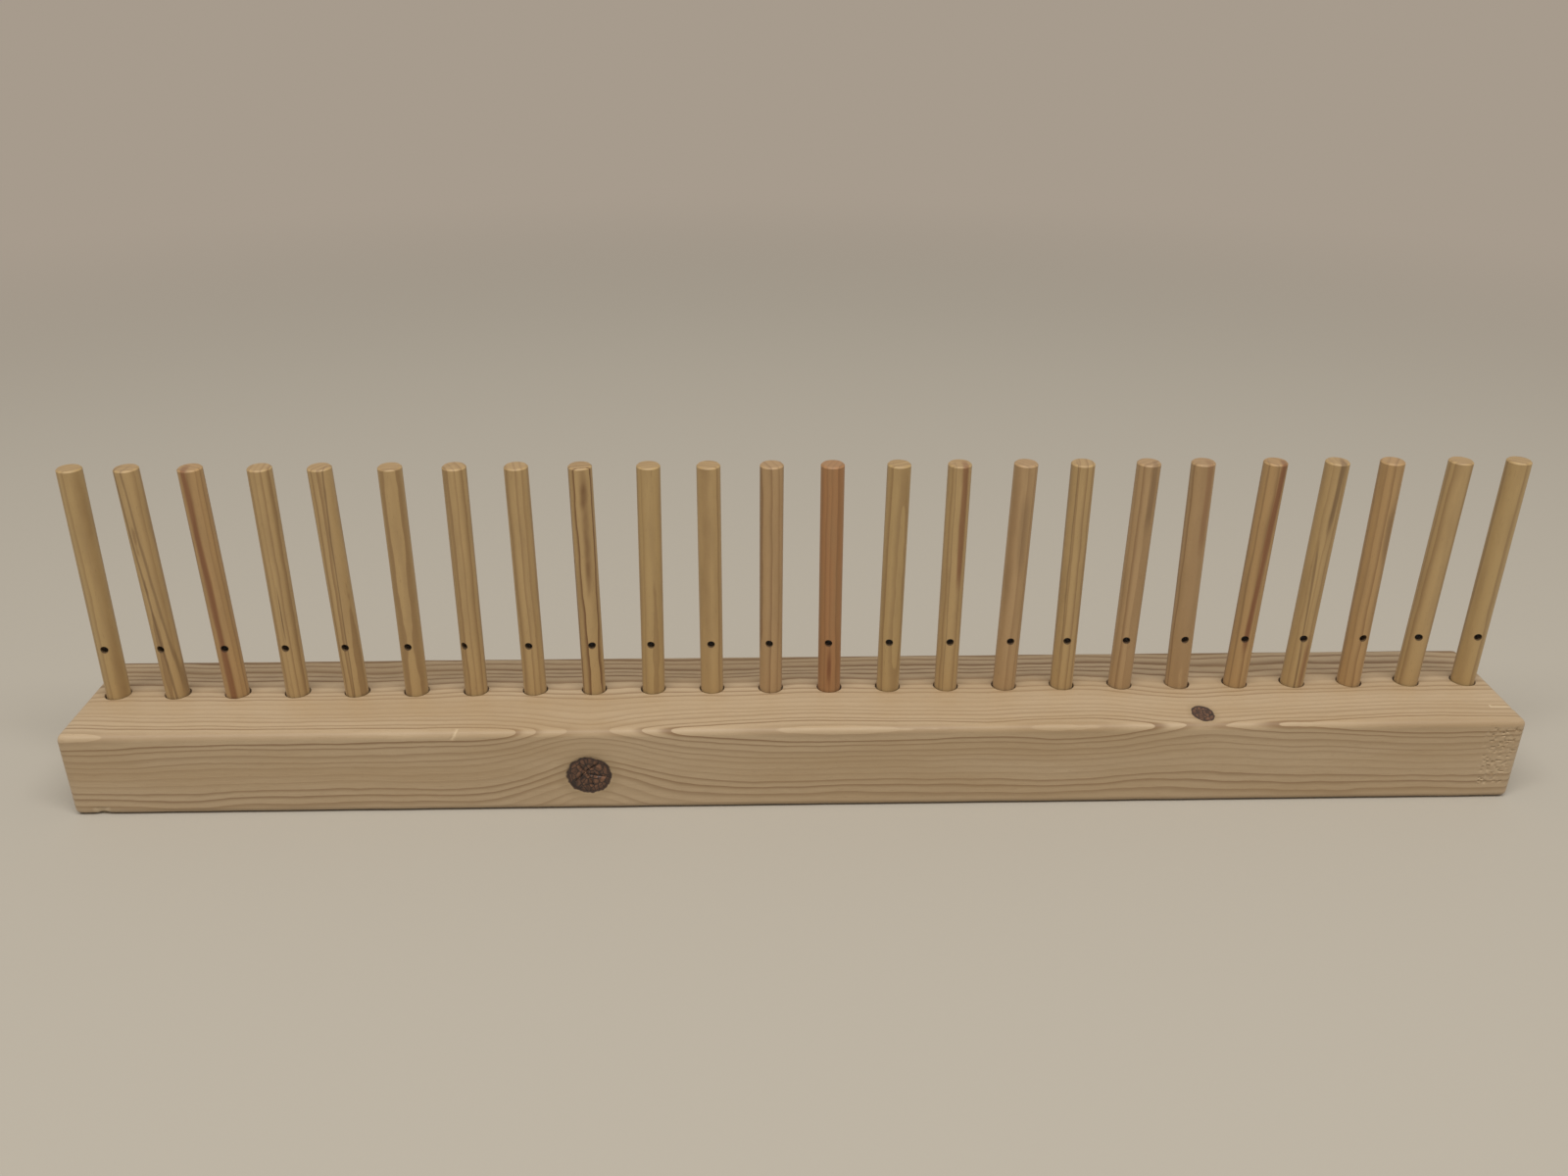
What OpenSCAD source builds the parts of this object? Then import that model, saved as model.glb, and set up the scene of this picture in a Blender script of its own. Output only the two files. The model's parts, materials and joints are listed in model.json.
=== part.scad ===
// Peg loom: one planed softwood beam with a row of loose dowel pegs standing in blind sockets.
// Each peg has an eye across it for the warp, and lifts out of its socket along its own axis.
// Millimetres, +X along the beam, +Y to the back, +Z up; the origin is the middle of the underside.

/* [Row of pegs] */
// Number of pegs in the row
peg_count = 24; // [6:1:40]
// Distance from one peg's centre to the next
peg_pitch = 25; // [18:1:40]
// Distance from the end pegs' centres to the beam's ends
end_margin = 11; // [9:1:40]
// How far the row sits behind the middle of the beam's width
row_setback = 3; // [0:0.5:8]

/* [Beam] */
// Width of the beam, front to back
beam_w = 63; // [45:1:100]
// Height of the beam
beam_h = 38; // [34:1:60]
// Rounding of the beam's four long edges
arris_r = 3; // [1:0.5:6]
// Rounding of the sanded edges round the beam's ends
end_r = 2; // [0.5:0.5:5]

/* [Sockets] */
// Depth of the flat-bottomed part of each socket
socket_depth = 25; // [15:1:28]
// How much wider a socket is than its peg
peg_play = 1; // [0.4:0.1:2]
// Width of the sanded bevel round a socket's mouth
mouth_bevel = 0.4; // [0.2:0.1:1]
// Diameter of the mark that the drill's centre point leaves in a socket's floor
point_d = 2.4; // [1:0.2:4]
// Depth of that mark
point_depth = 1.8; // [0.5:0.1:3]

/* [Pegs] */
// Diameter of the dowel
peg_d = 9.5; // [6:0.5:12]
// Length of a peg
peg_l = 126; // [90:1:200]
// Width of the sanded bevel round a peg's ends
peg_bevel = 0.6; // [0.2:0.1:1.5]
// Clearance left between a peg's foot and the socket's floor
seat_gap = 0.1; // [0.05:0.05:0.5]

/* [Warp eyes] */
// Diameter of the eye drilled across a peg
eye_d = 3; // [1.5:0.5:4]
// Height of the eye above the peg's foot
eye_up = 48; // [34:1:70]

/* [Hidden] */
// How each peg leans along the row, in tenths of the lean that its play allows, from the left
LEANS = [5, -2, -3, 1, -3, 2, 2, 0, 0, 4, 1, 1, -1, 2, 0, 3, -2, 1, -6, 3, 3, -3, 3, 0];
// How far each peg's eye is turned from facing straight out of the front, in degrees
TURNS = [5, -10, 5, -5, -5, -5, -30, -5, 10, -5, 0, -10, -10, -10, 0, 0, -5, -10, 0, -10, -10, 5, -20, -10];

$fn = 64;
beam_l = (peg_count - 1) * peg_pitch + 2 * end_margin;
peg_r = peg_d / 2;
socket_r = (peg_d + peg_play) / 2;
socket_floor = beam_h - socket_depth;
pivot_z = socket_floor + socket_depth / 2;
lean_most = atan(peg_play / socket_depth);
// How far a cutting tool runs on past the face that it cuts
cut_over = 1;

function peg_x(i) = (i - (peg_count - 1) / 2) * peg_pitch;
function peg_lean(i) = LEANS[i % len(LEANS)] / 10 * lean_most;
function peg_turn(i) = TURNS[i % len(TURNS)];
// Distance along a leaning peg from its foot to the level of the socket's half depth
function foot_drop(lean) =
    (socket_depth / 2 - seat_gap - (peg_r - peg_bevel) * sin(abs(lean))) / cos(lean);
function peg_name(i) = str("peg_", i < 9 ? "0" : "", i + 1);

PINE = [0.68, 0.56, 0.42];
DOWEL = [0.72, 0.60, 0.42];

// Rectangle with round corners, centred
module round_rect(w, h, r) {
    square([w - 2 * r, h], center = true);
    square([w, h - 2 * r], center = true);
    for (sx = [-1, 1], sy = [-1, 1])
        translate([sx * (w / 2 - r), sy * (h / 2 - r)])
            circle(r = r);
}

// The planed timber: its long edges take one rounding, the edges round its ends another
module timber() {
    translate([0, 0, beam_h / 2])
        intersection() {
            rotate([90, 0, 90])
                linear_extrude(beam_l + 2 * cut_over, center = true)
                    round_rect(beam_w, beam_h, arris_r);
            rotate([90, 0, 0])
                linear_extrude(beam_w + 2 * cut_over, center = true)
                    round_rect(beam_l, beam_h, end_r);
            linear_extrude(beam_h + 2 * cut_over, center = true)
                round_rect(beam_l, beam_w, end_r);
        }
}

// One blind socket, standing on its floor: the drill's point mark, the bore and the bevelled mouth
module socket_cut() {
    rotate_extrude()
        polygon([
            [0, -point_depth],
            [point_d / 2, 0],
            [socket_r, 0],
            [socket_r, socket_depth - mouth_bevel],
            [socket_r + mouth_bevel + cut_over, socket_depth + cut_over],
            [0, socket_depth + cut_over]
        ]);
}

module beam() {
    color(PINE)
        difference() {
            timber();
            for (i = [0:peg_count - 1])
                translate([peg_x(i), row_setback, socket_floor])
                    socket_cut();
        }
}

// One dowel standing on its foot, with the eye through it from front to back
module dowel() {
    difference() {
        rotate_extrude()
            polygon([
                [0, 0],
                [peg_r - peg_bevel, 0],
                [peg_r, peg_bevel],
                [peg_r, peg_l - peg_bevel],
                [peg_r - peg_bevel, peg_l],
                [0, peg_l]
            ]);
        translate([0, 0, eye_up])
            rotate([90, 0, 0])
                cylinder(d = eye_d, h = peg_d + 2 * cut_over, center = true);
    }
}

module peg(i) {
    lean = peg_lean(i);
    color(DOWEL)
        translate([peg_x(i), row_setback, pivot_z])
            rotate([0, lean, 0])
                rotate([0, 0, peg_turn(i)])
                    translate([0, 0, -foot_drop(lean)])
                        dowel();
}

beam();
for (i = [0:peg_count - 1])
    peg(i);
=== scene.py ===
"""Looks of the peg loom: a planed pine beam and its row of loose dowel pegs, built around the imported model."""

import json
import math

import bmesh
import bpy
from mathutils import Matrix, Vector, noise


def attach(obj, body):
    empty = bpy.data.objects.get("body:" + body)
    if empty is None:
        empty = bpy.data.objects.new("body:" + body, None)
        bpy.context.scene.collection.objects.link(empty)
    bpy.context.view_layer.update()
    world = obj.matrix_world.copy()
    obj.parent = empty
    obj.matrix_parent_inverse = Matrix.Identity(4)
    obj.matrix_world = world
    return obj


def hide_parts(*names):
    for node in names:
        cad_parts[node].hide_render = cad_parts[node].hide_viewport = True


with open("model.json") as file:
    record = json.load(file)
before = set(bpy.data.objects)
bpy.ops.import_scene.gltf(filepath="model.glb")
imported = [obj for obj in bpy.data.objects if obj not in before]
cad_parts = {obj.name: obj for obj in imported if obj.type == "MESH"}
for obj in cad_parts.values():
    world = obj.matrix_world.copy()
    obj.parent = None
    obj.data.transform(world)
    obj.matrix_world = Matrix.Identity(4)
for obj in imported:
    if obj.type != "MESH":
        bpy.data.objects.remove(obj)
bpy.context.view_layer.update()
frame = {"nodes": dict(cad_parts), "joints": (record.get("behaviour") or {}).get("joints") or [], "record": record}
RECORD = frame["record"]
MM = 0.001

# Camera, solved from the photograph's perspective
CAMERA_AT = (-0.0223, -0.4900, 0.3240)
CAMERA_YAW = 1.78       # degrees towards +X
CAMERA_PITCH = 25.88    # degrees down
CAMERA_ROLL = -0.31     # degrees
FOCAL_SHARE = 0.8484    # focal length as a share of the picture's width
SENSOR_MM = 36.0

# Light: a long soft lamp in front and above, and an even surround
LAMP_HEIGHT = 1.85
LAMP_FORWARD = 0.70
LAMP_SIZE = (2.6, 0.5)
LAMP_WATTS = 36.0
LAMP_COLOUR = (1.0, 0.985, 0.955)
SURROUND = (0.400, 0.372, 0.335)

# Stage, in metres: the floor turns into the backdrop's even tone between two distances from the loom's middle
FLOOR_COLOUR = (0.445, 0.410, 0.350)
FLOOR_ROUGHNESS = 0.7
FLOOR_HALF_SIZE = 30.0
BACKDROP = (0.386, 0.328, 0.266)
FADE_FROM, FADE_TO = 0.6, 1.5

# Beam, in millimetres: its size and sockets
HALF_LONG, HALF_WIDE, HIGH, ARRIS = 298.5, 31.5, 38.0, 3.0
LEFT_END_R, RIGHT_END_R = 2.0, 2.8
SOCKET_R, SOCKET_DEEP, SOCKET_TIP = 5.25, 25.0, 1.5
MOUTH_BEVEL, MOUTH_ROUGHNESS = 0.42, 0.28
ROW_Y, PITCH, PEGS = 3.0, 25.0, 24
SOCKET_SIDES = 48
SHARP_ANGLE = 35.0      # degrees

# Steps of the beam's mesh: along its length, and round its section
PLAIN_STEP = 1.6
CLOSE_UPS = ((-99.0, -76.0, 0.5), (-146.0, -136.0, 0.5), (159.0, 173.0, 0.5), (280.0, 297.0, 0.5))
END_MARGIN = 4.0
ARRIS_STEPS = 8
TOP_STEP, BACK_STEP, UNDERSIDE_STEP, FRONT_STEP = 1.0, 2.0, 3.0, 0.6

# Grain of the beam, in millimetres: where its growth rings are centred, their width and their waver
PITH = (80.0, -75.0)
RING_WIDTH = 2.1
WAVER = 7.0
BEAM_SEED = 3.0

# Knots: a point on the surface, the direction from the pith (y, z), half sizes across the branch, how deep it
# reaches, and how far it pushes the growth rings outwards
BIG_KNOT = {
    "at": (-87.5, -31.5, 17.1), "towards": (-0.771, 0.637), "half": (9.0, 6.5), "deep": 60.0, "push": 9.0,
}
SMALL_KNOT = {
    "at": (166.0, -22.75, 38.0), "towards": (-0.673, 0.740), "half": (4.5, 4.4), "deep": 20.0, "push": 4.0,
}
HILL, TAIL, SIDE = 26.0, 62.0, 26.0     # half widths of the rise in the grain over a knot

# The big knot's section on the front face, and the cracks in it as lines of (x, z)
KNOT_HALF_X, KNOT_HALF_Z = 9.0, 8.4
CRACKS = (((-93, 14), (-88, 19), (-84, 22)), ((-91, 21), (-88, 17), (-86, 12)), ((-87, 17), (-81, 16)))

# Colours of the beam
PALE = (0.490, 0.367, 0.228, 1)
LATE = (0.205, 0.115, 0.048, 1)
BROAD = (0.37, 0.245, 0.118, 1)
FLECK = (0.24, 0.14, 0.065, 1)
FIBRE = (0.30, 0.19, 0.10, 1)
END_GRAIN = (0.26, 0.165, 0.085, 1)
BARE = (0.62, 0.49, 0.32, 1)
KNOT_DARK = (0.060, 0.026, 0.013, 1)
KNOT_LIGHT = (0.190, 0.088, 0.044, 1)
KNOT_RING = (0.035, 0.015, 0.009, 1)
KNOT_CRACK = (0.012, 0.006, 0.004, 1)
KNOT_RIM = (0.03, 0.013, 0.008, 1)
KNOT_HALO = (0.27, 0.185, 0.09, 1)

# Colours of the pegs
TONES = {
    "plain": (0.455, 0.308, 0.140, 1),
    "yellow": (0.445, 0.304, 0.134, 1),
    "warm": (0.440, 0.275, 0.120, 1),
    "pink": (0.430, 0.280, 0.138, 1),
    "red": (0.370, 0.185, 0.075, 1),
}
PEG_LATE = (0.17, 0.083, 0.030, 1)
PEG_BROAD = (0.29, 0.185, 0.085, 1)
PEG_FLECK = (0.21, 0.12, 0.05, 1)
PEG_END = (0.25, 0.155, 0.085, 1)
# painted shade for the inside of a peg's eye
EYE_PAINTED_SHADE = (0.05, 0.025, 0.012, 1)
RED_STREAK = (0.20, 0.075, 0.028, 1)
BROWN_STREAK = (0.15, 0.085, 0.038, 1)

# Pegs, in millimetres
EYE_UP = 48.0           # the eye's height above the foot
STREAK_MIDDLE = 78.0    # the height at which a streak's offset is measured
# radii of the eye over which its painted shade fades in
EYE_SHADE_FROM, EYE_SHADE_TO = 1.75, 1.45

# What each peg's visible side shows. A streak has its offset across, its slant per 100 mm, its half width, its low
# and high ends, its darkness, and whether it is red
BOTTOM, TOP = 0, 130
PEG_LOOKS = {
    1: {"tone": "yellow"},
    2: {"streaks": [(-0.5, -5.0, 0.5, BOTTOM, TOP, 0.6, False),
                    (2.6, -4.0, 0.4, BOTTOM, TOP, 0.5, False)]},
    3: {"tone": "warm", "streaks": [(-1.0, -1.0, 1.3, BOTTOM, TOP, 0.8, True)]},
    4: {"streaks": [(0.6, -1.0, 0.3, 54, 73, 0.8, False)]},
    5: {"streaks": [(1.6, 2.0, 0.25, BOTTOM, TOP, 0.6, False)]},
    7: {"streaks": [(-1.2, 0.0, 0.2, BOTTOM, TOP, 0.4, False),
                    (-2.2, 0.4, 0.2, BOTTOM, TOP, 0.4, False)]},
    9: {"rings": 1.9, "late": 0.9, "pith": (-6.0, 40.0)},
    10: {"tone": "yellow"},
    12: {"tone": "pink"},
    13: {"tone": "red", "streaks": [(0.2, 0.0, 0.9, 30, 43, 0.9, True)]},
    14: {"tone": "yellow"},
    15: {"streaks": [(1.8, 0.0, 1.2, 75, TOP, 0.7, True), (-2.0, 0.0, 0.2, BOTTOM, TOP, 0.4, False)]},
    16: {"tone": "pink", "streaks": [(0.5, 0.0, 1.8, 80, 112, 0.3, False)]},
    17: {"streaks": [(-2.4, 0.0, 0.2, 40, TOP, 0.5, False)]},
    18: {"tone": "pink", "streaks": [(2.2, 0, 1.0, 100, TOP, 0.5, False)]},
    19: {"tone": "pink", "streaks": [(1.8, 0, 1.3, 90, TOP, 0.4, True)]},
    20: {"tone": "warm", "streaks": [(1.3, 3.0, 1.2, 44, TOP, 0.85, True),
                                     (-3.0, 0, 0.3, BOTTOM, TOP, 0.4, False)]},
    21: {"streaks": [(0.5, 2.0, 1.0, 98, 132, 0.7, False), (-1.6, -3.0, 0.4, BOTTOM, 90, 0.6, False),
                     (2.2, 0, 1.2, 24, 46, 0.5, True)]},
    22: {"tone": "warm", "streaks": [(1.5, 0.0, 1.3, 84, 106, 0.4, False)]},
    24: {"tone": "yellow"},
}


class Nodes:
    """Adds nodes to one tree and links them: a value is a number, a tuple or another node's output."""

    def __init__(self, tree):
        self.tree = tree

    def feed(self, socket, value):
        if isinstance(value, bpy.types.NodeSocket):
            self.tree.links.new(value, socket)
        else:
            socket.default_value = value

    def add(self, kind, inputs=(), **settings):
        node = self.tree.nodes.new("ShaderNode" + kind)
        for name, value in settings.items():
            setattr(node, name, value)
        for key, value in dict(inputs).items():
            self.feed(node.inputs[key], value)
        return node

    def math(self, operation, *values):
        node = self.add("Math", operation=operation)
        for socket, value in zip(node.inputs, values):
            self.feed(socket, value)
        return node.outputs[0]

    def vector(self, operation, *values):
        node = self.add("VectorMath", operation=operation)
        for socket, value in zip(node.inputs, values):
            self.feed(socket, value)
        return node.outputs["Value" if operation in ("DOT_PRODUCT", "LENGTH") else "Vector"]

    def join(self, x, y, z):
        return self.add("CombineXYZ", {"X": x, "Y": y, "Z": z}).outputs[0]

    def split(self, value):
        return self.add("SeparateXYZ", {"Vector": value}).outputs

    def place(self, output="Object"):
        return self.add("TexCoord").outputs[output]

    def noise(self, point, scale=1.0, detail=2.0, roughness=0.5, colour=False):
        node = self.add("TexNoise", {"Vector": point, "Scale": scale, "Detail": detail, "Roughness": roughness})
        return node.outputs["Color" if colour else "Fac"]

    def stretched(self, point, lengths, **settings):
        """Noise whose features have these lengths along x, y and z."""
        return self.noise(self.vector("MULTIPLY", point, tuple(1 / length for length in lengths)), **settings)

    def rise(self, value, low, high, to_low=0.0, to_high=1.0):
        """Smooth step of value from low to high."""
        node = self.add("MapRange", interpolation_type="SMOOTHSTEP")
        for socket, item in zip(node.inputs, (value, low, high, to_low, to_high)):
            self.feed(socket, item)
        return node.outputs[0]

    def bell(self, value, half_width):
        """1 where value is 0, falling off smoothly on both sides."""
        squared = self.math("POWER", self.math("DIVIDE", value, half_width), 2.0)
        return self.math("POWER", math.e, self.math("MULTIPLY", squared, -1.0))

    def blend(self, share, first, second):
        node = self.add("Mix", data_type="RGBA")
        self.feed(node.inputs[0], share)
        self.feed(node.inputs[6], first)
        self.feed(node.inputs[7], second)
        return node.outputs[2]


def grain_group():
    """Growth rings and fibre of softwood. Point is in millimetres, with X along the grain."""
    tree = bpy.data.node_groups.new("grain", "ShaderNodeTree")
    tree.interface.new_socket("Point", in_out="INPUT", socket_type="NodeSocketVector")
    for label in ("Pith Y", "Pith Z", "Ring Width", "Bulge", "Waver", "Seed"):
        tree.interface.new_socket(label, in_out="INPUT", socket_type="NodeSocketFloat")
    for label in ("Late", "Tone", "Fibre", "Fleck"):
        tree.interface.new_socket(label, in_out="OUTPUT", socket_type="NodeSocketFloat")
    given = tree.nodes.new("NodeGroupInput").outputs
    out = tree.nodes.new("NodeGroupOutput").inputs
    n = Nodes(tree)
    seed = given["Seed"]
    shifted = n.vector("ADD", given["Point"], n.join(seed, n.math("MULTIPLY", seed, 3.7), 0))
    _, y, z = n.split(given["Point"])
    drift = n.stretched(shifted, (95, 40, 40), detail=1.5, colour=True)
    drift_y, drift_z, _ = n.split(n.vector("SUBTRACT", drift, (0.5, 0.5, 0.5)))
    off_y = n.math("SUBTRACT", n.math("MULTIPLY_ADD", drift_y, given["Waver"], y), given["Pith Y"])
    off_z = n.math("SUBTRACT", n.math("MULTIPLY_ADD", drift_z, given["Waver"], z), given["Pith Z"])
    radius = n.math("SUBTRACT", n.vector("LENGTH", n.join(0, off_y, off_z)), given["Bulge"])
    ripple = n.stretched(shifted, (16, 7, 7))
    radius = n.math("MULTIPLY_ADD", ripple, 0.9, radius)
    count = n.math("DIVIDE", radius, given["Ring Width"])
    uneven = n.noise(n.join(n.math("MULTIPLY", count, 0.45), seed, 5.0), detail=1.0)
    count = n.math("MULTIPLY_ADD", uneven, 1.5, count)
    ring = n.math("FLOOR", count)
    within = n.math("SUBTRACT", count, ring)
    late = n.math("MULTIPLY", n.rise(within, 0.30, 0.93), n.rise(within, 1.0, 0.955))
    tone = n.add("TexWhiteNoise", {"Vector": n.join(ring, seed, 0.5)}).outputs["Value"]
    fleck = n.stretched(shifted, (3.2, 0.22, 0.22), detail=1.0)
    n.feed(out["Late"], n.math("POWER", late, 1.6))
    n.feed(out["Tone"], tone)
    n.feed(out["Fibre"], n.stretched(shifted, (9, 0.35, 0.35), detail=3.0, roughness=0.6))
    n.feed(out["Fleck"], n.rise(fleck, 0.66, 0.76))
    return tree


GRAIN = grain_group()


def new_material(name, roughness, sheen=0.0):
    """A material, the helper for its nodes and its shader."""
    made = bpy.data.materials.new(name)
    made.use_nodes = True
    shader = made.node_tree.nodes["Principled BSDF"]
    shader.inputs["Roughness"].default_value = roughness
    shader.inputs["Sheen Weight"].default_value = sheen
    return made, Nodes(made.node_tree), shader


def grain(n, point, pith, ring, bulge, waver, seed):
    """Outputs of the grain group: latewood, the ring's own tone, fibre and flecks."""
    node = n.tree.nodes.new("ShaderNodeGroup")
    node.node_tree = GRAIN
    values = {"Point": point, "Pith Y": pith[0], "Pith Z": pith[1], "Ring Width": ring}
    values.update({"Bulge": bulge, "Waver": waver, "Seed": seed})
    for label, value in values.items():
        n.feed(node.inputs[label], value)
    return node.outputs


def wood_bump(n, shader, late, fibre, depth):
    """Fine relief: hard latewood stands a little proud, and the fibres catch the light."""
    height = n.math("MULTIPLY_ADD", fibre, 0.6, n.math("MULTIPLY", late, 0.35))
    bump = n.add("Bump", {"Height": height, "Strength": 0.5, "Distance": depth})
    n.feed(shader.inputs["Normal"], bump.outputs[0])


def end_grain(n, axis):
    """0 on the long faces, 1 on faces across the grain."""
    across = n.math("ABSOLUTE", n.vector("DOT_PRODUCT", n.place("Normal"), axis))
    return n.rise(across, 0.75, 0.97)


def knot_nodes(n, point, knot):
    """Distance from a knot's axis (1 at its rim), its presence, its push on the rings, its own coordinates."""
    rel = n.vector("SUBTRACT", point, knot["at"])
    x, y, z = n.split(rel)
    out_y, out_z = knot["towards"]
    along = n.math("ADD", n.math("MULTIPLY", y, out_y), n.math("MULTIPLY", z, out_z))
    over = n.math("ADD", n.math("MULTIPLY", y, out_z), n.math("MULTIPLY", z, -out_y))
    wobble = n.noise(n.vector("MULTIPLY", rel, (0.35, 0.35, 0.35)))
    plane = n.join(n.math("DIVIDE", x, knot["half"][0]), n.math("DIVIDE", over, knot["half"][1]), 0)
    ratio = n.math("ADD", n.vector("LENGTH", plane), n.math("MULTIPLY_ADD", wobble, 0.24, -0.12))
    there = n.rise(along, -knot["deep"], -knot["deep"] * 0.7)
    push = n.math("MULTIPLY_ADD", n.bell(x, HILL), 0.7, n.math("MULTIPLY", n.bell(x, TAIL), 0.3))
    push = n.math("MULTIPLY", n.math("MULTIPLY", push, n.bell(over, SIDE)), knot["push"])
    return ratio, there, push, x, over


def paint_knot(n, colour, index, ratio, there, x, over):
    """A knot over the wood's colour: its halo, its ringed and cracked inside, and its dark rim."""
    spread = n.noise(n.join(n.math("MULTIPLY", x, 0.5), n.math("MULTIPLY", over, 0.5), index), detail=3.0)
    inner = n.blend(n.rise(spread, 0.35, 0.65), KNOT_DARK, KNOT_LIGHT)
    rings = n.math("SINE", n.math("MULTIPLY", ratio, 26.0))
    inner = n.blend(n.rise(rings, 0.2, 1.0, 0, 0.45), inner, KNOT_RING)
    cell = {"Vector": n.join(x, over, index * 9.0), "Scale": 0.42, "Randomness": 1.0}
    cracks = n.add("TexVoronoi", cell, feature="DISTANCE_TO_EDGE").outputs["Distance"]
    inner = n.blend(n.rise(cracks, 0.10, 0.03, 0, 0.9), inner, KNOT_CRACK)
    halo = n.math("MULTIPLY", n.rise(ratio, 1.7, 1.0, 0, 0.35), there)
    colour = n.blend(halo, colour, KNOT_HALO)
    colour = n.blend(n.math("MULTIPLY", n.rise(ratio, 1.03, 0.97), there), colour, inner)
    rim = n.math("MULTIPLY", n.rise(ratio, 0.80, 0.93), n.rise(ratio, 1.06, 0.99))
    return n.blend(n.math("MULTIPLY", n.math("MULTIPLY", rim, there), 0.85), colour, KNOT_RIM)


def beam_material():
    made, n, shader = new_material("planed_pine_beam", roughness=0.55, sheen=0.12)
    point = n.vector("MULTIPLY", n.place(), (1000.0, 1000.0, 1000.0))
    knots = [knot_nodes(n, point, knot) for knot in (BIG_KNOT, SMALL_KNOT)]
    bulge = n.math("ADD", knots[0][2], knots[1][2])
    late, tone, fibre, fleck = grain(n, point, PITH, RING_WIDTH, bulge, WAVER, BEAM_SEED)
    # Behind the peg row the latewood is drawn bolder. This is partly the top's own darker stripes and partly
    # painted shadow of the pegs.
    bold_stripes_and_painted_shadow = n.rise(n.split(point)[1], 5.0, 10.0, 0.0, 0.75)
    strength = n.math("ADD", n.math("MULTIPLY_ADD", n.math("POWER", tone, 2.0), 0.70, 0.20), bold_stripes_and_painted_shadow)
    colour = n.blend(n.math("MULTIPLY", late, strength), PALE, LATE)
    broad = n.stretched(point, (90, 14, 14))
    colour = n.blend(n.rise(broad, 0.35, 0.7, 0, 0.40), colour, BROAD)
    colour = n.blend(n.math("MULTIPLY", fleck, 0.30), colour, FLECK)
    colour = n.blend(n.rise(fibre, 0.35, 0.75, 0.20, 0.0), colour, FIBRE)
    for index, (ratio, there, _, x, over) in enumerate(knots):
        colour = paint_knot(n, colour, index, ratio, there, x, over)
    colour = n.blend(n.math("MULTIPLY", end_grain(n, (1, 0, 0)), 0.45), colour, END_GRAIN)
    bare = n.add("Attribute", attribute_name="bare").outputs["Fac"]
    n.feed(shader.inputs["Base Color"], n.blend(bare, colour, BARE))
    wood_bump(n, shader, late, fibre, 0.00012)
    return made


def streak_mask(n, parts, broad, offset, slant, half, low, high, amount):
    """Where a peg's streak lies on its visible side, as a share of amount."""
    up, across, back = parts
    centre = n.math("MULTIPLY_ADD", n.math("SUBTRACT", up, STREAK_MIDDLE), slant / 100, offset)
    sway = n.math("MULTIPLY_ADD", broad, 1.6, -0.8)
    apart = n.math("ABSOLUTE", n.math("SUBTRACT", n.math("ADD", across, sway), centre))
    mask = n.math("MULTIPLY", n.rise(apart, half * 1.5, half * 0.4), n.rise(up, low - 6, low + 6))
    mask = n.math("MULTIPLY", n.math("MULTIPLY", mask, n.rise(up, high + 6, high - 6)), amount)
    return n.math("MULTIPLY", mask, n.rise(back, 4.0, -1.0))


def peg_material(name, axis, eye):
    """Pine for one peg, laid out along the peg's own axis and turned as its eye is."""
    number = int(name[-2:])
    look = PEG_LOOKS.get(number, {})
    made, n, shader = new_material(name + "_pine", roughness=0.55, sheen=0.05)
    up = Vector(axis).normalized()
    back = (-Vector(eye["axis"])).normalized()
    right = back.cross(up)
    foot = Vector(eye["pos_m"]) - up * EYE_UP * MM
    rel = n.vector("SUBTRACT", n.place(), tuple(foot))
    parts = [n.math("MULTIPLY", n.vector("DOT_PRODUCT", rel, tuple(a)), 1000.0) for a in (up, right, back)]
    point = n.join(*parts)
    # Each dowel was cut from another place in the log: the golden angle spreads the directions of the pith
    turn = number * 2.39996
    far = 26.0 + 14.0 * ((number * 7) % 5)
    pith = look.get("pith", (far * math.cos(turn), far * math.sin(turn)))
    late, tone, fibre, fleck = grain(n, point, pith, look.get("rings", 2.6), 0.0, 3.0, number * 11.3)
    dark = n.math("MULTIPLY", late, n.math("MULTIPLY_ADD", tone, 0.35, look.get("late", 0.22)))
    colour = n.blend(dark, TONES[look.get("tone", "plain")], PEG_LATE)
    broad = n.stretched(point, (30, 4, 4), detail=3.0)
    colour = n.blend(n.rise(broad, 0.4, 0.75, 0, 0.35), colour, PEG_BROAD)
    colour = n.blend(n.math("MULTIPLY", fleck, 0.35), colour, PEG_FLECK)
    for *shape, red in look.get("streaks", []):
        colour = n.blend(streak_mask(n, parts, broad, *shape), colour, RED_STREAK if red else BROWN_STREAK)
    colour = n.blend(n.math("MULTIPLY", end_grain(n, tuple(up)), 0.35), colour, PEG_END)
    # Painted shade: the inside of the eye is coloured near black, as if in shadow
    hole = n.join(parts[1], n.math("SUBTRACT", parts[0], EYE_UP), 0)
    inside = n.math("MULTIPLY", n.rise(n.vector("LENGTH", hole), EYE_SHADE_FROM, EYE_SHADE_TO), 0.8)
    n.feed(shader.inputs["Base Color"], n.blend(inside, colour, EYE_PAINTED_SHADE))
    wood_bump(n, shader, late, fibre, 0.00008)
    return made


def link(obj):
    bpy.context.scene.collection.objects.link(obj)
    return obj


def make_camera():
    yaw, pitch, roll = (math.radians(a) for a in (CAMERA_YAW, CAMERA_PITCH, CAMERA_ROLL))
    ahead = Vector((math.sin(yaw) * math.cos(pitch), math.cos(yaw) * math.cos(pitch), -math.sin(pitch)))
    level = Vector((math.cos(yaw), -math.sin(yaw), 0))
    down = ahead.cross(level)
    right = math.cos(roll) * level + math.sin(roll) * down
    up = math.sin(roll) * level - math.cos(roll) * down
    data = bpy.data.cameras.new("camera")
    data.sensor_width = SENSOR_MM
    data.lens = SENSOR_MM * FOCAL_SHARE
    camera = link(bpy.data.objects.new("camera", data))
    turn = Matrix((right, up, -ahead)).transposed().to_4x4()
    camera.matrix_world = Matrix.Translation(CAMERA_AT) @ turn
    bpy.context.scene.camera = camera


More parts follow.
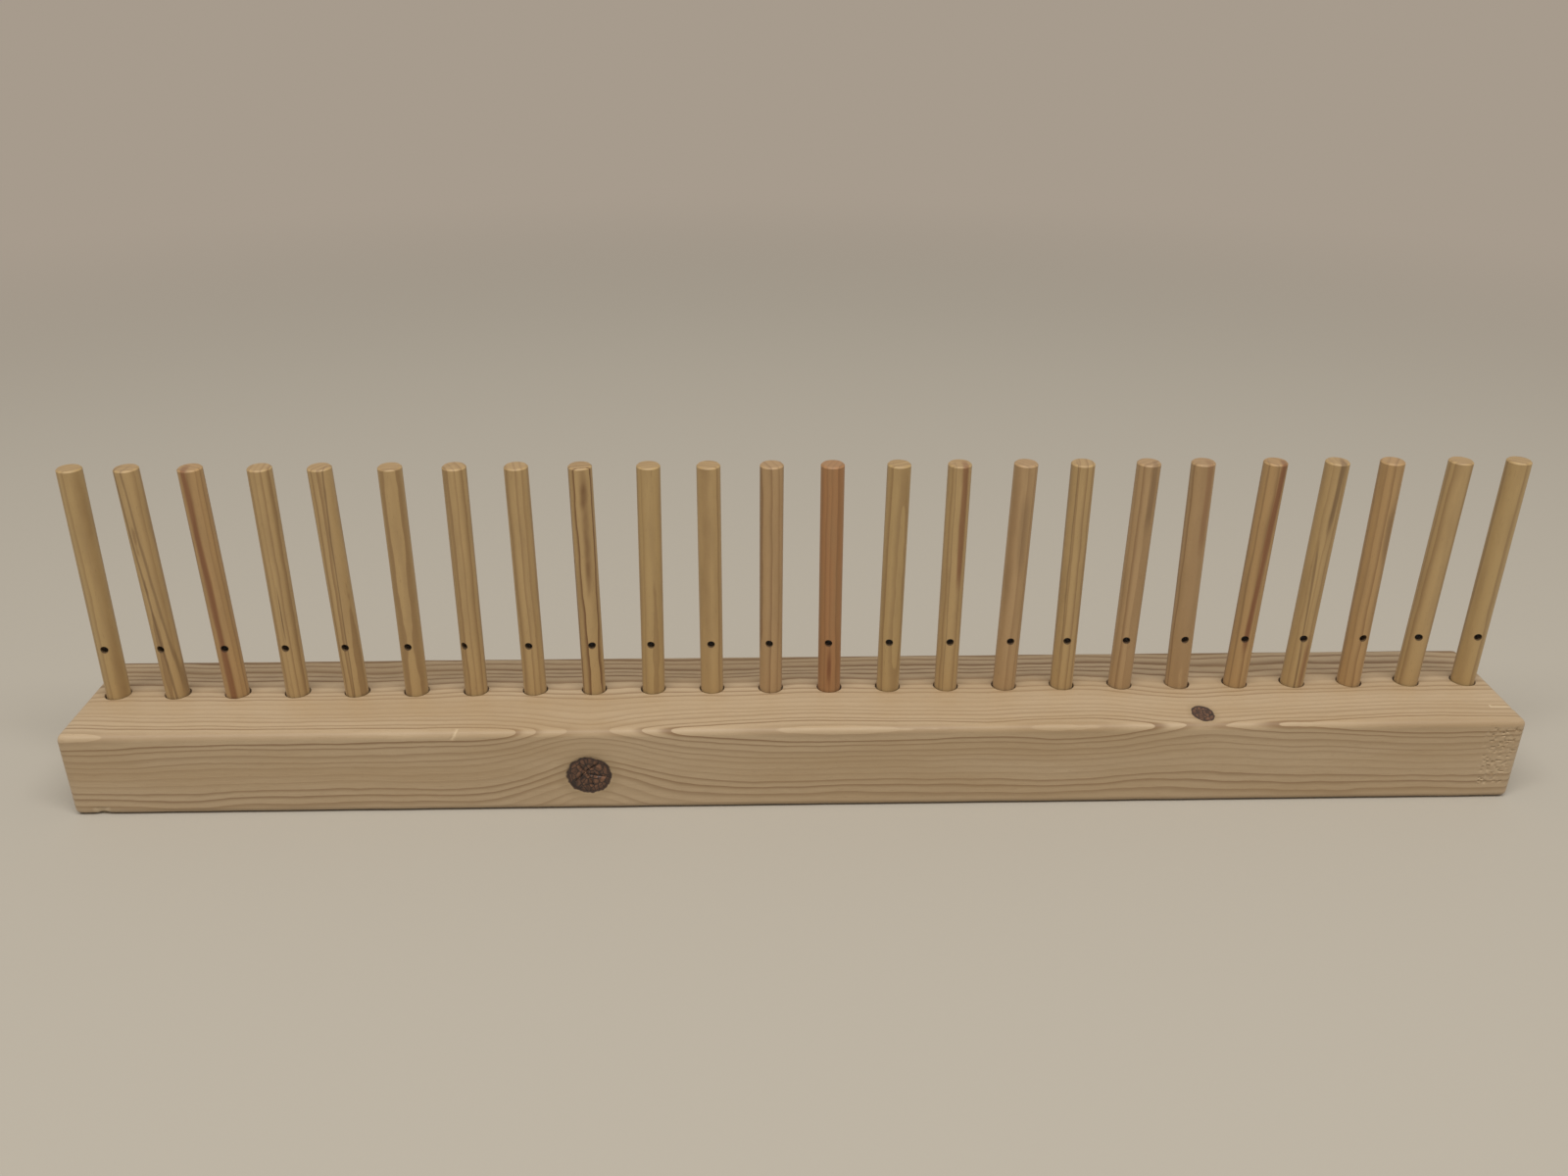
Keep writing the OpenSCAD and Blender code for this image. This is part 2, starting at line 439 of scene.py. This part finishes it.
def make_lights():
    """The lamp, and a surround that lights the loom evenly and shows the camera the backdrop's tone."""
    data = bpy.data.lights.new("lamp", "AREA")
    data.shape = "RECTANGLE"
    data.size, data.size_y = LAMP_SIZE
    data.energy = LAMP_WATTS
    data.color = LAMP_COLOUR
    lamp = link(bpy.data.objects.new("lamp", data))
    lamp.location = (0, -LAMP_FORWARD, LAMP_HEIGHT)
    lamp.rotation_euler = (-lamp.location).to_track_quat("-Z", "Y").to_euler()
    world = bpy.data.worlds.new("surround")
    world.use_nodes = True
    bpy.context.scene.world = world
    n = Nodes(world.node_tree)
    seen = n.add("LightPath").outputs["Is Camera Ray"]
    n.feed(n.tree.nodes["Background"].inputs["Color"], n.blend(seen, (*SURROUND, 1), (*BACKDROP, 1)))


def make_floor():
    """A pale floor whose far parts turn into an even backdrop where the camera looks at them."""
    mesh = bpy.data.meshes.new("floor")
    ends = (-FLOOR_HALF_SIZE, FLOOR_HALF_SIZE)
    mesh.from_pydata([(x, y, 0.0) for y in ends for x in ends], [], [(0, 1, 3, 2)])
    floor = link(bpy.data.objects.new("floor", mesh))
    made, n, shader = new_material("floor", FLOOR_ROUGHNESS)
    shader.inputs["Base Color"].default_value = (*FLOOR_COLOUR, 1)
    seen = n.add("LightPath").outputs["Is Camera Ray"]
    glow = n.add("Emission", {"Color": (*BACKDROP, 1), "Strength": 1.0})
    share = n.math("MULTIPLY", n.rise(n.vector("LENGTH", n.place()), FADE_FROM, FADE_TO), seen)
    mixed = n.add("MixShader", {0: share, 1: shader.outputs[0], 2: glow.outputs[0]})
    n.feed(n.tree.nodes["Material Output"].inputs["Surface"], mixed.outputs[0])
    mesh.materials.append(made)


def stations():
    """Places along the beam's length, each with how far the section shrinks there, for the rounded ends."""
    values, x = [], -HALF_LONG + END_MARGIN
    while x < HALF_LONG - END_MARGIN:
        values.append((x, 0.0))
        x += next((step for low, high, step in CLOSE_UPS if low <= x < high), PLAIN_STEP)
    left, right = [], []
    for degrees in range(0, 90, 15):
        round_x, round_in = math.cos(math.radians(degrees)), math.sin(math.radians(degrees))
        left.append((-HALF_LONG + LEFT_END_R * (1 - round_x), LEFT_END_R * (1 - round_in)))
        right.append((HALF_LONG - RIGHT_END_R * (1 - round_x), RIGHT_END_R * (1 - round_in)))
    return left + values + [(HALF_LONG - 3.4, 0.0)] + right[::-1]


def beam_outline():
    """Points of the beam's section with their outward directions, once round from the front's top arris."""
    wide, tall = 2 * (HALF_WIDE - ARRIS), HIGH - 2 * ARRIS
    corners = (
        (-1, 1, 180, wide, TOP_STEP),
        (1, 1, 90, tall, BACK_STEP),
        (1, -1, 0, wide, UNDERSIDE_STEP),
        (-1, -1, -90, tall, FRONT_STEP),
    )
    outline = []
    for side_y, side_z, start, straight, step in corners:
        centre_y = (HALF_WIDE - ARRIS) * side_y
        centre_z = HIGH / 2 + (HIGH / 2 - ARRIS) * side_z
        for k in range(ARRIS_STEPS + 1):
            angle = math.radians(start - 90 * k / ARRIS_STEPS)
            out_y, out_z = math.cos(angle), math.sin(angle)
            outline.append((centre_y + ARRIS * out_y, centre_z + ARRIS * out_z, out_y, out_z))
        count = max(1, round(straight / step))
        from_y, from_z = outline[-1][:2]
        for k in range(1, count):
            gone = straight * k / count
            outline.append((from_y + out_z * gone, from_z - out_y * gone, out_y, out_z))
    return outline


def to_segment(x, z, start, end):
    """Distance from a point to a line's piece, on the front face."""
    run_x, run_z = end[0] - start[0], end[1] - start[1]
    share = ((x - start[0]) * run_x + (z - start[1]) * run_z) / (run_x ** 2 + run_z ** 2)
    share = min(1.0, max(0.0, share))
    return math.hypot(x - start[0] - share * run_x, z - start[1] - share * run_z)


def knot_dent(x, z):
    """The big knot's sunk rim, its rough face and its cracks."""
    ratio = math.hypot((x - BIG_KNOT["at"][0]) / KNOT_HALF_X, (z - BIG_KNOT["at"][2]) / KNOT_HALF_Z)
    dent = 0.35 * math.exp(-((ratio - 0.97) / 0.06) ** 2)
    if ratio < 1:
        dent += 0.12 + 0.12 * noise.noise(Vector((x / 1.5, z / 1.5, 3)))
        near = min(to_segment(x, z, a, b) for line in CRACKS for a, b in zip(line, line[1:]))
        dent += 0.9 * math.exp(-(near / 0.45) ** 2)
    return dent


def dent_and_bare(x, y, z, out_y, out_z):
    """How deep the surface sinks at a point, in millimetres, and how freshly bared its wood is."""
    dent = 0.05 + 0.05 * noise.noise(Vector((x / 30, y / 12, z / 12)))
    bare = 0.0
    if out_y and out_z:     # the arrises are a little uneven
        dent += 0.16 + 0.16 * noise.noise(Vector((x / 22, 4.0, 9.0)))
    if y < -31.4:
        if -99 < x < -76:
            dent += knot_dent(x, z)
        if x > 280:         # torn grain at the right end
            edge = min(1, (x - 280) / 5) * min(1, max(0, (297.5 - x) / 2))
            torn = noise.noise(Vector((x / 1.3, z / 0.8, 7.0))) * edge - 0.12
            if 7 < z < 35 and torn > 0:
                dent += min(0.55, 1.6 * torn)
                bare = min(0.3, 1.5 * torn)
    if y < -28 and z > 34.5:    # a slanted nick on the front arris
        off = abs((x + 140.6) - 0.6 * (z - 36.5)) / 0.9
        if off < 1:
            dent += 0.5 * (1 - off)
            bare = 0.8 * (1 - off)
    if z > 37.9 and x > 288 and abs(y + 19.5 + 0.05 * (x - 293)) < 0.8:     # a scratch on top
        dent += 0.25
        bare = 0.8
    if z < 4 and y < -28 and -290 < x < -284.5:     # a chip at the lower left
        dent += 0.7 * math.sin(math.pi * (x + 290) / 5.5)
        bare = 0.6
    return dent, bare


def mesh_object(name, form):
    """An object from a bmesh, with its faces turned outwards."""
    bmesh.ops.recalc_face_normals(form, faces=form.faces)
    mesh = bpy.data.meshes.new(name)
    form.to_mesh(mesh)
    form.free()
    return link(bpy.data.objects.new(name, mesh))


def beam_body():
    """The beam's skin: its section at every station, with the dents and the bared wood of its surface."""
    outline = beam_outline()
    around = len(outline)
    form = bmesh.new()
    bared = form.verts.layers.float.new("bare")
    for x, inset in stations():
        for y, z, out_y, out_z in outline:
            dent, bare = dent_and_bare(x, y, z, out_y, out_z)
            sink = inset + dent
            rests = z < 0.01 and not inset      # the underside stays on the floor
            height = max(0.0, z - out_z * (0 if rests else sink))
            vert = form.verts.new((x * MM, (y - out_y * sink) * MM, height * MM))
            vert[bared] = bare
    form.verts.ensure_lookup_table()
    verts = form.verts
    rings = [verts[i:i + around] for i in range(0, len(verts), around)]
    for one, other in zip(rings, rings[1:]):
        for k in range(around):
            after = (k + 1) % around
            form.faces.new((one[k], one[after], other[after], other[k]))
    form.faces.new(rings[0][::-1])
    form.faces.new(rings[-1])
    return mesh_object("pine_beam", form)


def socket_cutters():
    """One object with the shape of all the sockets, each with an uneven bevel at its mouth."""
    form = bmesh.new()
    profile = (
        (1.5, SOCKET_R + 0.9),
        (0.0, SOCKET_R + MOUTH_BEVEL),
        (-MOUTH_BEVEL, SOCKET_R),
        (-SOCKET_DEEP, SOCKET_R),
    )
    for peg in range(PEGS):
        at_x = (peg - (PEGS - 1) / 2) * PITCH
        loops = []
        for up, radius in profile:
            loop = []
            for k in range(SOCKET_SIDES):
                angle = 2 * math.pi * k / SOCKET_SIDES
                side_x, side_y = math.cos(angle), math.sin(angle)
                rough = noise.noise(Vector((3 * side_x, 3 * side_y, peg * 5.0))) if up >= 0 else 0.0
                reach = radius + MOUTH_ROUGHNESS * rough
                place = (at_x + reach * side_x, ROW_Y + reach * side_y, HIGH + up)
                loop.append(form.verts.new(Vector(place) * MM))
            loops.append(loop)
        for upper, lower in zip(loops, loops[1:]):
            for k in range(SOCKET_SIDES):
                after = (k + 1) % SOCKET_SIDES
                form.faces.new((upper[k], lower[k], lower[after], upper[after]))
        form.faces.new(loops[0])
        tip = form.verts.new(Vector((at_x, ROW_Y, HIGH - SOCKET_DEEP - SOCKET_TIP)) * MM)
        for k in range(SOCKET_SIDES):
            form.faces.new((loops[-1][k], tip, loops[-1][(k + 1) % SOCKET_SIDES]))
    return mesh_object("cutters", form)


def make_beam(finish):
    beam = beam_body()
    beam.data.materials.append(finish)
    cutter = socket_cutters()
    cut = beam.modifiers.new("sockets", "BOOLEAN")
    cut.operation = "DIFFERENCE"
    cut.solver = "EXACT"
    cut.object = cutter
    bpy.context.view_layer.update()
    drilled = bpy.data.meshes.new_from_object(beam.evaluated_get(bpy.context.evaluated_depsgraph_get()))
    beam.modifiers.clear()
    beam.data = drilled
    bpy.data.objects.remove(cutter)
    drilled.shade_smooth()
    drilled.set_sharp_from_angle(angle=math.radians(SHARP_ANGLE))
    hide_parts("beam")
    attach(beam, "beam")


def dress(node, finish):
    node.data.materials.clear()
    node.data.materials.append(finish)


make_camera()
make_lights()
make_floor()
bpy.context.scene.view_settings.view_transform = "Standard"

beam_finish = beam_material()
make_beam(beam_finish)
dress(frame["nodes"]["beam"], beam_finish)
eyes = {mount["name"]: mount for mount in RECORD["mounts"]}
for joint in frame["joints"]:
    peg_name = joint["child"]
    dress(frame["nodes"][peg_name], peg_material(peg_name, joint["axis"], eyes["warp_eye_" + peg_name[-2:]]))
